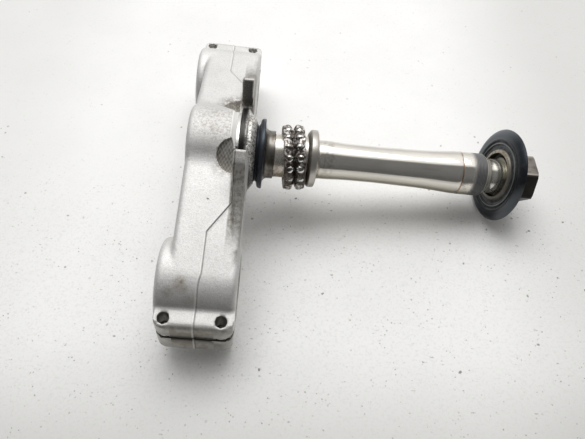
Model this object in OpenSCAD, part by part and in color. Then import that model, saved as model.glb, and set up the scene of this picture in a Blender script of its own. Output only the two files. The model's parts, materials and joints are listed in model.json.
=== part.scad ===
// Lower triple clamp of a motorcycle with its steering stem, head bearings, dust cover and stem nut.
// The stem's axis is +X, the two fork clamps lie along Y, and +Z points out of the rear face.
// The origin is on the stem's axis, halfway along the fork clamps.

/* [Fork clamps] */
// Diameter of the fork tube that each clamp holds
fork_d = 41; // [35:0.5:46]
// Distance between the two fork tubes
fork_spacing = 182; // [176:1:200]
// Distance from the stem's axis forward to the fork tubes' axes
fork_offset = 25; // [20:0.5:32]
// Wall of each fork clamp
clamp_wall = 8; // [7:0.5:12]
// Length of each fork clamp along the fork tube
clamp_len = 48.5; // [44:0.5:56]
// Radius of the cast edges of the fork clamps
clamp_edge = 4; // [1:0.5:6]
// Chamfer at the mouths of the fork bores
bore_chamfer = 1; // [0.4:0.1:2]

/* [Pinch ears] */
// How far the ears stand back from the clamp's lower end
ear_inset = 1.5; // [0.5:0.1:4]
// Height of the machined pad above the slot's middle
ear_up = 15.2; // [11:0.2:20]
// Depth of the lower ear below the slot's middle
ear_down = 20; // [14:0.5:24]
// Width of the pinch slot
slot_w = 3; // [1.5:0.1:3.8]
// Radius of the ears' upright corners
ear_corner = 7; // [2:0.5:10]
// Radius of the ears' long outer edges
ear_edge = 4; // [1:0.5:5]
// Radius of the fillet between clamp and pad
pad_fillet = 2; // [1:0.5:6]
// Distance of the pinch bolts from the two ends of the clamp
pinch_end = 7.65; // [7.2:0.05:10]
// Distance of the pinch bolts from the wall of the fork bore
pinch_gap = 9.5; // [8.5:0.1:12]
// Distance of the pinch bolts from the ears' outer faces
pinch_edge = 6; // [5.5:0.1:10]
// Diameter of the tapped pinch holes
pinch_tap_d = 6.8; // [5:0.1:7.5]
// Diameter of the clearance holes in the lower ears
pinch_clear_d = 8.5; // [8:0.1:9.5]
// Diameter of the bolt head seats
pinch_seat_d = 14; // [12:0.5:16]
// Depth of the bolt head seats
pinch_seat_h = 3; // [1:0.5:6]

/* [Arms] */
// Rear limit of the arms along the stem
arm_back = -17; // [-20:0.5:-12]
// Front limit of the arms along the stem
arm_front = 23; // [20:0.5:24]
// Half height of the arms at the stem
arm_half = 22; // [19:0.5:25]
// Radius of the arms' cast edges
arm_edge = 4; // [1:0.5:6]
// Wall between the pockets and the hub
pocket_wall = 6; // [4:0.5:8]
// Wall between the pockets and the arms' sides
pocket_side = 4.5; // [3.5:0.5:7]
// Depth of the pockets under the arms
pocket_depth = 27; // [10:0.5:30]
// Thickness of the rib between two pockets
rib_w = 5; // [3:0.5:8]
// Radius of the pockets' corners
pocket_corner = 3.5; // [2:0.5:4]

/* [Hub] */
// Radius of the cast hub
hub_r = 29.5; // [27:0.5:31]
// Radius of the fillets between hub and arms
hub_fillet = 20; // [8:1:24]
// How far the hub's lower face stands out of the arms
hub_out = 0.5; // [0.2:0.1:1]
// Radius of the edge round the hub's lower face
hub_edge = 4; // [1:0.5:6]
// Radius at the floor of the turned groove
groove_r = 26; // [24:0.5:27.5]
// Outer radius of the turned groove
groove_outer = 34; // [31:0.5:36]
// Place of the groove's front wall along the stem
groove_front = 16; // [15:0.5:17]
// Width of the groove's floor
groove_w = 2; // [1:0.5:4]
// Length of the groove's sloping wall
groove_slope = 7; // [4:0.5:10]
// Radius of the milled reliefs beside the groove
relief_r = 11; // [8:0.5:12]
// Place of the reliefs' front end along the stem
relief_x = 14; // [12:0.5:14]
// Distance of the reliefs' floors from the stem's axis
relief_floor = 26.5; // [26:0.5:28]
// Angle of each relief from the rear side in degrees
relief_angle = 46; // [35:1:50]
// Radius of the turned flange between the stops
flange_r = 29.6; // [28.5:0.1:29.7]
// Thickness of the turned flange
flange_w = 5; // [3:0.5:8]
// Radius of the seal collar at its base
collar_base_r = 25.9; // [23:0.1:28]
// Radius of the seal collar at its end
collar_r = 21; // [19:0.1:24]
// Length of the collar's straight foot
collar_foot = 2.5; // [1:0.5:3.5]
// Place of the seal collar's end along the stem
collar_end = 27; // [25:0.5:28]

/* [Steering stops] */
// Distance between the faces of the two stop lugs
stop_gap = 59.8; // [59.6:0.2:64]
// Height of the lugs above the stem's axis
stop_top = 38.2; // [32:0.1:42]
// Chamfer along the top of each stop face
stop_chamfer = 1.4; // [0.4:0.1:2]
// How far the lugs stand back from the arms' front
stop_inset = 0.5; // [0.2:0.1:1]
// Width of each lug along the stem
stop_w = 8; // [5:0.5:8.5]
// Length of each lug's sloping top
stop_top_len = 7; // [4:0.5:10]
// Drop of each lug's sloping top
stop_top_drop = 4; // [0:0.2:5]
// Radius of the long ramp down to the arm
ramp_r = 77; // [60:1:100]
// How much narrower the ramp is where it runs out
ramp_taper = 5; // [0:0.5:6]

/* [Steering stem] */
// Diameter of the bearing seats
seat_d = 30; // [28:0.5:31]
// Height of the shoulder between the bearing seat and the pressed end
press_step = 1; // [0.5:0.1:1.5]
// Diameter of the bore right through the stem
stem_bore_d = 17; // [14:0.5:20]
// Place of the shoulder that carries the lower race
shoulder_x = 31; // [29.5:0.5:32]
// End of the lower bearing seat
seat_end = 69.5; // [69.5:0.5:74]
// Depth of the undercut at the end of the lower seat
undercut_h = 1.5; // [0.5:0.1:2]
// Length of the undercut
undercut_len = 5.5; // [3:0.5:8]
// Diameter of the slim middle
waist_d = 25.4; // [22:0.2:27]
// Start of the upper seat
upper_seat_x = 167; // [160:1:170]
// End of the upper seat with its thread
upper_seat_end = 185.5; // [182:0.5:185.5]
// Diameter of the neck that carries the nut
neck_d = 22.8; // [21:0.2:24]
// Overall place of the stem's end
stem_end = 220.5; // [216:0.5:221.5]
// Chamfer at the stem's upper end
stem_chamfer = 1; // [0.5:0.1:2]

/* [Bearings] */
// How far the lower race's foot stands out from the seat
race_foot_h = 5.5; // [5:0.1:6.5]
// Width of the lower race's foot
race_foot_w = 2; // [1:0.1:3]
// Wall of the lower race's sleeve
race_sleeve_h = 1.4; // [1:0.1:1.8]
// Rim of the foot outside the track
race_rim = 0.6; // [0.4:0.1:1]
// Length of the lower race
race_len = 9; // [7:0.5:9.5]
// Diameter of a ball
ball_d = 6.35; // [5:0.05:6.35]
// Smallest space between two balls of a row
ball_space = 0.7; // [0.6:0.05:0.9]
// Clearance between a ball and its pocket
ball_clear = 0.08; // [0.05:0.01:0.2]
// Place of the first row of balls along the stem
row_x = 49.5; // [49.3:0.1:49.7]
// Distance between the two rows of balls
row_gap = 7.6; // [7.4:0.1:7.7]
// Clearance between the cages and the seat
cage_clear = 1.5; // [1.2:0.1:1.8]
// Depth of the cages from their inner to their outer edge
cage_h = 5.2; // [4.8:0.1:5.6]
// Distance from a row of balls to its cage's upright outer face
cage_out = 3.4; // [3.2:0.1:3.5]
// Gap between the two cages
cage_gap = 0.2; // [0.1:0.05:0.4]
// How far the loose cages hang below the stem's axis
cage_hang = 0.7; // [0.2:0.1:0.7]
// Lean of the loose cages in degrees
cage_lean = 5.5; // [0:0.5:6]
// Height of the upper race above the seat
top_race_h = 4.8; // [3:0.1:7]
// Bevel of the upper race on the side of the balls
top_race_bevel = 2; // [1:0.1:3]
// Place of the upper race along the stem
top_race_x = 62.3; // [62.3:0.1:62.9]
// Length of the upper race
top_race_len = 6.6; // [5:0.1:6.6]

/* [Seal] */
// How far the lower seal's lip stands out past the race's foot
seal_lip_h = 3.5; // [2.5:0.1:5]
// Thickness of the lip at its edge
seal_lip_w = 2; // [1:0.1:2.2]

/* [Dust cover] */
// Place of the cover's rim along the stem
cover_x = 199.8; // [198:0.1:200.5]
// Outer radius of the rubber rim
cover_r = 32.5; // [30:0.5:36]
// Share of the cover's radius that is pressed metal
dish_share = 0.77; // [0.72:0.01:0.82]
// Share of the cover's radius that is open
hole_share = 0.48; // [0.46:0.01:0.5]
// Thickness of the pressed metal
dish_t = 1.5; // [0.8:0.1:2]
// Length of the sleeve behind the hole in the dish
sleeve_len = 3.2; // [2:0.1:3.3]
// Lean of the cover back toward the nut in degrees
cover_lean = 7; // [0:0.5:9]
// Turn of the cover about the upright in degrees
cover_turn = 4; // [0:0.5:6]

/* [Stem nut] */
// Width across the nut's flats
nut_af = 30; // [28:0.5:34]
// Place of the nut's inner face along the stem
nut_x = 205.3; // [205.3:0.1:207]
// Place of the nut's outer face along the stem
nut_end = 222; // [221.5:0.5:224]
// Turn of the nut on its thread in degrees
nut_turn = 30; // [0:1:59]
// Length of the bevel on the nut's corners
nut_bevel = 0.6; // [0.3:0.1:2]
// Gap between the nut's round shoulder and the cover's sleeve
shoulder_gap = 1.8; // [1.8:0.1:2.6]
// Length of the shoulder in front of the nut's flats
nut_shoulder_len = 4.7; // [3:0.1:4.7]

/* [Hidden] */

fork_y = fork_spacing / 2;
seat_r = seat_d / 2;
press_r = seat_r + press_step;
race_foot_r = seat_r + race_foot_h;
race_sleeve_r = seat_r + race_sleeve_h;
cage_in_r = seat_r + cage_clear;
cage_r = cage_in_r + cage_h;
ball_pitch_r = cage_in_r + 0.56 * cage_h;
ball_count = floor(180 / asin((ball_d + ball_space) / 2 / ball_pitch_r));
top_race_r = seat_r + top_race_h;
seal_lip_r = race_foot_r + seal_lip_h;
dish_r = dish_share * cover_r;
dish_hole_r = hole_share * cover_r;
nut_shoulder_r = dish_hole_r - shoulder_gap;
pinch_out = fork_d / 2 + pinch_gap;
pinch_spacing = clamp_len - 2 * pinch_end;
ear_reach = pinch_out + pinch_edge;
clamp_r = fork_d / 2 + clamp_wall;
ear_from = ear_inset - clamp_len / 2;
ear_to = clamp_len / 2;
hub_back = arm_back - hub_out;
over = 1;
round_fn = 96;
hull_fn = 32;

// Lean of the arm's rear plane, which touches the hub's inner circle and the fork clamp
arm_angle = atan2(fork_offset, fork_y)
    + asin((arm_half - clamp_r) / sqrt(fork_y * fork_y + fork_offset * fork_offset));

// Unit vectors out of the arm's rear plane and along it, in the Y-Z plane
out_of_arm = [sin(arm_angle), cos(arm_angle)];
along_arm = [cos(arm_angle), -sin(arm_angle)];
up = [0, 1];
outward = [1, 0];

// Centre of a fillet of radius rf between a circle (centre p, radius r1) and a line (normal n, distance d)
function fillet_centre(p, r1, n, t, d, rf) =
    let (rise = d + rf - n * p, run = sqrt(pow(r1 + rf, 2) - rise * rise)) p + n * rise + t * run;

// Turns a half section, drawn as radius and place, about the stem's axis
module turned() {
    rotate([0, 90, 0])
        rotate_extrude($fn = round_fn)
            children();
}

// Extrudes an outline drawn in the Y-Z plane along X
module along_x(from, to) {
    translate([from, 0, 0])
        rotate([90, 0, 90])
            linear_extrude(to - from)
                children();
}

// Half section of a disc with rounded edges
module disc_section(r, from, to, edge, fn = 48) {
    translate([0, from])
        square([r - edge, to - from]);
    translate([0, from + edge])
        square([r, to - from - 2 * edge]);
    for (x = [from + edge, to - edge])
        translate([r - edge, x])
            circle(edge, $fn = fn);
}

// The fillet piece between a circle at p and a line, as an outline
module fillet_outline(p, r1, n, t, d, rf) {
    c = fillet_centre(p, r1, n, t, d, rf);
    difference() {
        polygon([p, p + (c - p) * r1 / (r1 + rf), c, c - n * rf, c - n * (rf + r1 / 2)]);
        translate(c)
            circle(rf, $fn = round_fn);
    }
}

module arm_core() {
    hull() {
        rotate([0, 90, 0])
            rotate_extrude($fn = hull_fn)
                disc_section(arm_half, arm_back, arm_front, arm_edge, 16);
        translate([0, fork_y, -fork_offset])
            rotate([0, 90, 0])
                rotate_extrude($fn = hull_fn)
                    disc_section(clamp_r, arm_back, arm_front, arm_edge, 16);
    }
}

module fork_ring() {
    translate([0, fork_y, -fork_offset])
        turned()
            disc_section(clamp_r, -clamp_len / 2, clamp_len / 2, clamp_edge);
}

// Outline of both ears in the Y-Z plane, with rounded long edges
module ear_outline() {
    low = -fork_offset - ear_down;
    high = -fork_offset + ear_up;
    far = fork_y + ear_reach;
    translate([fork_y, low])
        square([ear_reach - ear_edge, high - low]);
    translate([fork_y, low + ear_edge])
        square([ear_reach, high - low - 2 * ear_edge]);
    for (z = [low + ear_edge, high - ear_edge])
        translate([far - ear_edge, z])
            circle(ear_edge, $fn = 48);
}

// Outline of the ears seen along Z, with rounded upright corners
module ear_plan() {
    far = fork_y + ear_reach;
    translate([ear_from, fork_y])
        square([ear_to - ear_from, ear_reach - ear_corner]);
    translate([ear_from + ear_corner, fork_y])
        square([ear_to - ear_from - 2 * ear_corner, ear_reach]);
    for (x = [ear_from + ear_corner, ear_to - ear_corner])
        translate([x, far - ear_corner])
            circle(ear_corner, $fn = 64);
}

module ears() {
    intersection() {
        along_x(ear_from, ear_to)
            ear_outline();
        translate([0, 0, -fork_offset - ear_down])
            linear_extrude(ear_down + ear_up)
                ear_plan();
    }
    along_x(ear_from + clamp_edge, ear_to - clamp_edge)
        fillet_outline([fork_y, -fork_offset], clamp_r, up, outward, -fork_offset + ear_up, pad_fillet);
}

// Steering stop: an upright inner face, a sloping top and a long ramp that runs out on the arm
module stop_lug() {
    ramp_start = [stop_gap / 2 + stop_top_len, stop_top - stop_top_drop];
    rise = arm_half + ramp_r - out_of_arm * ramp_start;
    run = sqrt(ramp_r * ramp_r - rise * rise);
    ramp_c = ramp_start + out_of_arm * rise + along_arm * run;
    ramp_end = ramp_c - out_of_arm * ramp_r;
    foot = [stop_gap / 2, 0];
    front = arm_front - stop_inset;
    back = front - stop_w;
    intersection() {
        along_x(back, front)
            difference() {
                polygon([foot, [stop_gap / 2, stop_top - stop_chamfer],
                         [stop_gap / 2 + stop_chamfer, stop_top], ramp_start, ramp_end,
                         ramp_end - out_of_arm * arm_edge * 2]);
                translate(ramp_c)
                    circle(ramp_r, $fn = 180);
            }
        translate([0, 0, -fork_offset])
            linear_extrude(fork_offset + stop_top + over)
                polygon([[back, 0], [back, ramp_start[0]], [back + ramp_taper, ramp_end[0]],
                         [back + ramp_taper, ramp_end[0] + over], [front, ramp_end[0] + over],
                         [front, 0]]);
    }
}

// Half section of the hub's turned end: flange, step and tapered seal collar
module turned_end_section() {
    flange_end = groove_front + flange_w;
    floor_x = groove_front - groove_w;
    polygon([[0, floor_x - over], [groove_r, floor_x - over], [groove_r, groove_front],
             [flange_r, groove_front], [flange_r, flange_end], [collar_base_r, flange_end],
             [collar_base_r, flange_end + collar_foot], [collar_r, collar_end], [0, collar_end]]);
}

// The groove that is turned into the hub behind the flange, on the rear side (1) or the front side (-1)
module groove_cut(side) {
    floor_x = groove_front - groove_w;
    reach = groove_outer + over;
    from = 0.75 * groove_r;
    intersection() {
        turned()
            polygon([[groove_r, floor_x], [groove_r, groove_front], [groove_outer, groove_front],
                     [groove_outer, floor_x - groove_slope]]);
        translate([0, -reach, side > 0 ? from : -from - reach])
            cube([reach, 2 * reach, reach]);
    }
}

// Flat relief milled between hub and stop lug, as deep as the groove
module relief_cut() {
    rotate([-relief_angle, 0, 0])
        translate([relief_x, 0, relief_floor])
            linear_extrude(2 * relief_r)
                difference() {
                    circle(relief_r, $fn = round_fn);
                    translate([0, -relief_r - over])
                        square(2 * (relief_r + over));
                }
}

// Two pockets with a rib between them, open at the lower face of one arm
module arm_pockets() {
    inner = hub_r + pocket_wall + pocket_corner;
    outer = fork_y - clamp_r - pocket_corner;
    half = arm_half - pocket_side - pocket_corner;
    slope = fork_offset / fork_y;
    for (side = [-1, 1])
        hull()
            for (y = [inner, outer], edge = [rib_w / 2 + pocket_corner, half])
                translate([arm_back - over, y, -slope * y + side * edge])
                    rotate([0, 90, 0])
                        cylinder(h = pocket_depth + over, r = pocket_corner, $fn = hull_fn);
}

module pinch_holes() {
    for (x = [-pinch_spacing / 2, pinch_spacing / 2])
        translate([x, fork_y + pinch_out, 0]) {
            translate([0, 0, -fork_offset])
                cylinder(h = ear_up + over, d = pinch_tap_d, $fn = 48);
            translate([0, 0, -fork_offset - ear_down - over])
                cylinder(h = ear_down + over, d = pinch_clear_d, $fn = 48);
            translate([0, 0, -fork_offset - ear_down - over])
                cylinder(h = pinch_seat_h + over, d = pinch_seat_d, $fn = 48);
        }
}

module fork_bore() {
    translate([0, fork_y, -fork_offset])
        turned() {
            half = clamp_len / 2;
            r = fork_d / 2;
            polygon([[0, -half - over], [r + bore_chamfer + over, -half - over], [r, -half + bore_chamfer],
                     [r, half - bore_chamfer], [r + bore_chamfer + over, half + over], [0, half + over]]);
        }
}

module pinch_slot() {
    translate([-clamp_len / 2 - over, fork_y, -fork_offset - slot_w / 2])
        cube([clamp_len + 2 * over, ear_reach + over, slot_w]);
}

module both_sides() {
    for (side = [0, 1])
        mirror([0, side, 0])
            children();
}

module clamp_body() {
    color("silver")
        difference() {
            union() {
                both_sides() {
                    arm_core();
                    along_x(arm_back + hub_edge / 2, groove_front)
                        fillet_outline([0, 0], hub_r, out_of_arm, along_arm, arm_half, hub_fillet);
                    fork_ring();
                    ears();
                    stop_lug();
                }
                turned()
                    disc_section(hub_r, hub_back, groove_front + hub_edge, hub_edge);
                turned()
                    turned_end_section();
            }
            groove_cut(1);
            groove_cut(-1);
            both_sides() {
                relief_cut();
                fork_bore();
                pinch_slot();
                pinch_holes();
                arm_pockets();
            }
            translate([hub_back - over, 0, 0])
                rotate([0, 90, 0])
                    cylinder(h = collar_end - hub_back + 2 * over, r = press_r, $fn = round_fn);
        }
}

// The waist and the neck are drawn in shares of their lengths and of their steps
module steering_stem() {
    waist_r = waist_d / 2;
    neck_r = neck_d / 2;
    bore_r = stem_bore_d / 2;
    low_r = seat_r - undercut_h;
    waist_len = upper_seat_x - seat_end;
    step = seat_r - waist_r;
    neck_len = stem_end - upper_seat_end;
    drop = seat_r - neck_r;
    color("gainsboro")
        turned()
            polygon([[bore_r, hub_back], [press_r, hub_back], [press_r, shoulder_x], [seat_r, shoulder_x],
                     [seat_r, seat_end], [low_r, seat_end + undercut_h / 2], [low_r, seat_end + undercut_len],
                     [waist_r + 0.05 * step, seat_end + 0.19 * waist_len],
                     [waist_r, seat_end + 0.31 * waist_len], [waist_r, seat_end + 0.44 * waist_len],
                     [waist_r + 0.15 * step, seat_end + 0.59 * waist_len],
                     [waist_r + 0.26 * step, seat_end + 0.73 * waist_len],
                     [waist_r + 0.43 * step, seat_end + 0.83 * waist_len],
                     [waist_r + 0.74 * step, seat_end + 0.91 * waist_len], [seat_r, upper_seat_x],
                     [seat_r, upper_seat_end], [seat_r - 0.22 * drop, upper_seat_end + 0.07 * neck_len],
                     [seat_r - 0.56 * drop, upper_seat_end + 0.13 * neck_len],
                     [seat_r - 0.83 * drop, upper_seat_end + 0.2 * neck_len],
                     [neck_r, upper_seat_end + 0.43 * neck_len], [neck_r, stem_end - stem_chamfer],
                     [neck_r - stem_chamfer, stem_end], [bore_r, stem_end]]);
}

// Crown race with a quarter-round track, its foot on the stem's shoulder
module lower_race() {
    track_r = race_foot_r - race_sleeve_r - race_rim;
    track_x = shoulder_x + race_foot_w;
    color("lightgray")
        turned()
            difference() {
                translate([seat_r, shoulder_x])
                    square([race_foot_r - seat_r, race_len]);
                translate([race_sleeve_r + track_r, track_x + track_r])
                    circle(track_r, $fn = 64);
                translate([race_sleeve_r, track_x + track_r])
                    square([race_foot_r, race_len]);
                translate([race_sleeve_r + track_r, track_x])
                    square([race_foot_r, race_len]);
            }
}

// Rubber seal between the collar and the race, with its lip spread over the race's foot
module lower_seal() {
    depth = shoulder_x - collar_end;
    w = seal_lip_w;
    lip_end = shoulder_x + w;
    color("black")
        turned()
            polygon([[press_r, collar_end], [collar_r - w / 2, collar_end],
                     [collar_r - w, collar_end + 0.3 * depth],
                     [seal_lip_r - 0.7 * w, collar_end + 0.65 * depth],
                     [seal_lip_r - 0.3 * w, collar_end + 0.75 * depth],
                     [seal_lip_r, shoulder_x + 0.3 * w], [seal_lip_r, lip_end - 0.1 * w],
                     [seal_lip_r - 0.5 * w, lip_end], [race_foot_r + 0.05 * w, shoulder_x + 0.2 * w],
                     [race_foot_r + 0.05 * w, shoulder_x], [press_r, shoulder_x]]);
}

// Puts a loose ring of balls where it hangs on the stem, leaning with its neighbour
module hung(row) {
    translate([row_x + row_gap / 2, 0, -cage_hang])
        rotate(a = cage_lean, v = [0, -0.56, 0.83])
            translate([(row - 0.5) * row_gap, 0, 0])
                children();
}

module balls_at(d) {
    for (i = [0 : ball_count - 1])
        rotate([i * 360 / ball_count, 0, 0])
            translate([0, 0, ball_pitch_r])
                sphere(d = d, $fn = 32);
}

// Pressed cage: an upright outer flange on one side and a wall that falls to the other
module cage(side) {
    inner_face = (row_gap - cage_gap) / 2;
    mirror([side, 0, 0])
        difference() {
            turned()
                polygon([[cage_in_r, -cage_out], [cage_r, -cage_out], [cage_r, inner_face / 10],
                         [cage_in_r + 0.35 * cage_h, inner_face], [cage_in_r, inner_face]]);
            balls_at(ball_d + 2 * ball_clear);
        }
}

module lower_cage() {
    color("dimgray")
        hung(0)
            cage(0);
}

module lower_balls() {
    color("white")
        hung(0)
            balls_at(ball_d);
}

module upper_cage() {
    color("dimgray")
        hung(1)
            cage(1);
}

module upper_balls() {
    color("white")
        hung(1)
            balls_at(ball_d);
}

module upper_race() {
    bevel = top_race_bevel;
    end = top_race_x + top_race_len;
    color("lightgray")
        turned()
            polygon([[seat_r, top_race_x], [top_race_r - 1.5 * bevel, top_race_x],
                     [top_race_r, top_race_x + bevel],
                     [top_race_r, end - 0.3 * bevel], [top_race_r - 0.3 * bevel, end], [seat_r, end]]);
}

// Puts the loose dust cover where it leans on the nut
module leaning() {
    translate([cover_x, 0.8, 0.7])
        rotate([0, 0, cover_turn])
            rotate([0, cover_lean, 0])
                children();
}

// Pressed dish with a rolled lip in front of its hole, a sleeve behind it and a groove inside its rim
module cover_dish() {
    t = dish_t;
    lip_r = dish_hole_r + 1.3 * t;
    color("slategray")
        leaning()
            turned()
                polygon([[dish_hole_r, -1.5 * t], [lip_r, -1.5 * t], [lip_r + 0.3 * t, -0.8 * t],
                         [dish_r - 2.3 * t, -0.4 * t], [dish_r - 1.7 * t, -1.1 * t],
                         [dish_r - 1.1 * t, -1.1 * t], [dish_r - 0.7 * t, -0.9 * t], [dish_r, -0.9 * t],
                         [dish_r, 0.1 * t], [dish_r - 2 * t, t],
                         [dish_hole_r + 2 * t, 0.3 * t], [dish_hole_r + 0.8 * t, 0.6 * t],
                         [dish_hole_r + 0.8 * t, sleeve_len], [dish_hole_r, sleeve_len]]);
}

module cover_rim() {
    t = dish_t;
    color("black")
        leaning()
            turned()
                polygon([[dish_r, -0.9 * t], [cover_r - 2.3 * t, -1.2 * t], [cover_r - 0.3 * t, 0],
                         [cover_r, 0.4 * t], [cover_r - 0.2 * t, 1.1 * t], [cover_r - 2.7 * t, 1.5 * t],
                         [dish_r, 1.7 * t]]);
}

module stem_nut() {
    nut_r = nut_af / 2 / cos(30);
    start = nut_x - nut_shoulder_len;
    color("dimgray")
        difference() {
            union() {
                intersection() {
                    translate([nut_x, 0, 0])
                        rotate([0, 90, 0])
                            rotate([0, 0, nut_turn])
                                cylinder(h = nut_end - nut_x, r = nut_r, $fn = 6);
                    turned()
                        polygon([[0, nut_x], [nut_r - 2 * nut_bevel, nut_x],
                                 [nut_r, nut_x + nut_bevel], [nut_r, nut_end - nut_bevel],
                                 [nut_r - 2 * nut_bevel, nut_end], [0, nut_end]]);
                }
                translate([start, 0, 0])
                    rotate([0, 90, 0])
                        cylinder(h = nut_shoulder_len + over, r = nut_shoulder_r, $fn = round_fn);
            }
            translate([start - over, 0, 0])
                rotate([0, 90, 0])
                    cylinder(h = nut_end - start + 2 * over, d = neck_d, $fn = round_fn);
        }
}

clamp_body();
steering_stem();
lower_race();
lower_seal();
lower_cage();
lower_balls();
upper_cage();
upper_balls();
upper_race();
cover_dish();
cover_rim();
stem_nut();
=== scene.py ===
"""Lower fork clamp of a motorcycle with its steering stem, laid out as a Blender add-on.

Sizes in the property groups are in millimetres, in the frame of the CAD model: the stem lies along X, the two
fork clamps lie side by side along Y, and the origin is on the stem's axis. Each operator makes one piece or a group
of like pieces, and the turned ones are outlines of (radius, place along X).
"""
import json
import math
from contextlib import contextmanager

import bpy
import numpy as np
from mathutils import Matrix, Vector

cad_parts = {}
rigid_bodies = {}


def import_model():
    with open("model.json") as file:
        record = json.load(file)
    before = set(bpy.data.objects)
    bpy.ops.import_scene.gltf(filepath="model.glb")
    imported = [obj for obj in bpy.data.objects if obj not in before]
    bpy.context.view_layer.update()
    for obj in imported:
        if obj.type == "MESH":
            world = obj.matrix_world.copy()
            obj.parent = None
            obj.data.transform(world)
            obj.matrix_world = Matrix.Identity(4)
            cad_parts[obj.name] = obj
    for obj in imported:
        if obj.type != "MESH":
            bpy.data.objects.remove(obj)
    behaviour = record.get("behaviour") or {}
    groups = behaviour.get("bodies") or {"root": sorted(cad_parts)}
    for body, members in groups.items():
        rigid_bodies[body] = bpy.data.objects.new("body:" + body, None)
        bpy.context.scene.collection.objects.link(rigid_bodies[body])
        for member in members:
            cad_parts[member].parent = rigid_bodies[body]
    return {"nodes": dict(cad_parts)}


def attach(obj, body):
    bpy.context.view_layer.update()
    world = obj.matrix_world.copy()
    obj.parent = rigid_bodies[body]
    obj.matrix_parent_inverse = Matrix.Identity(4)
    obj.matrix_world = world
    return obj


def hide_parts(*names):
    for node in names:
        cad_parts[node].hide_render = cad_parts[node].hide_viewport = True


bl_info = {
    "name": "Lower Fork Clamp",
    "version": (1, 0, 0),
    "blender": (4, 5, 0),
    "location": "View3D > Sidebar > Fork Clamp",
    "description": "Builds a used lower fork clamp with its stem, bearings, dust cover and nut",
    "category": "Add Mesh",
}

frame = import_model()

MM = 0.001
# Sides of a turned ring
RING = 144
# How far a machined face of the casting is cut behind its CAD place, in millimetres
CLEAR = 0.12


# Shader maths


class Sum:
    """A socket that Python's operators work on; each of them adds its Math node."""

    def __init__(self, board, socket):
        self.board, self.socket = board, socket

    def math(self, operation, *values, clamp=False):
        """Adds a Math node with this socket as its first value."""
        return self.board.node("ShaderNodeMath", {"operation": operation, "use_clamp": clamp}, [self, *values])

    def __add__(self, other):
        return self.math("ADD", other)

    __radd__ = __add__

    def __mul__(self, other):
        return self.math("MULTIPLY", other)

    __rmul__ = __mul__

    def __sub__(self, other):
        return self.math("SUBTRACT", other)

    def __rsub__(self, other):
        return self.board.node("ShaderNodeMath", {"operation": "SUBTRACT"}, [other, self])

    def __truediv__(self, other):
        return self.math("DIVIDE", other)

    def __abs__(self):
        return self.math("ABSOLUTE")

    def clamp(self):
        """Keeps the value between 0 and 1."""
        return self.math("ADD", 0.0, clamp=True)

    def step(self, low, high, start=0.0, end=1.0):
        """Goes smoothly from start at low to end at high."""
        return self.board.node("ShaderNodeMapRange", {"interpolation_type": "SMOOTHSTEP"},
                               {"Value": self, "From Min": low, "From Max": high, "To Min": start, "To Max": end})

    def band(self, low, high, soft):
        """1 between low and high, and 0 outside, with soft ends."""
        return self.step(low - soft, low + soft) * self.step(high + soft, high - soft)


class Board:
    """The nodes of a material, or of the room's light."""

    def __init__(self, owner):
        owner.use_nodes = True
        self.owner, self.tree = owner, owner.node_tree

    def feed(self, node, key, value):
        """Links a value to a node's socket, or sets it there."""
        socket = node.inputs[key]
        if isinstance(value, Sum):
            self.tree.links.new(value.socket, socket)
        else:
            socket.default_value = (*value, 1.0) if socket.type == "RGBA" else value

    def node(self, kind, settings, values, out=0):
        """Adds a node: its settings first, then its sockets' values or links. Gives the socket named out."""
        made = self.tree.nodes.new(kind)
        for key, setting in settings.items():
            setattr(made, key, setting)
        for key, value in values.items() if isinstance(values, dict) else enumerate(values):
            self.feed(made, key, value)
        return Sum(self, made.outputs[out])


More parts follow.
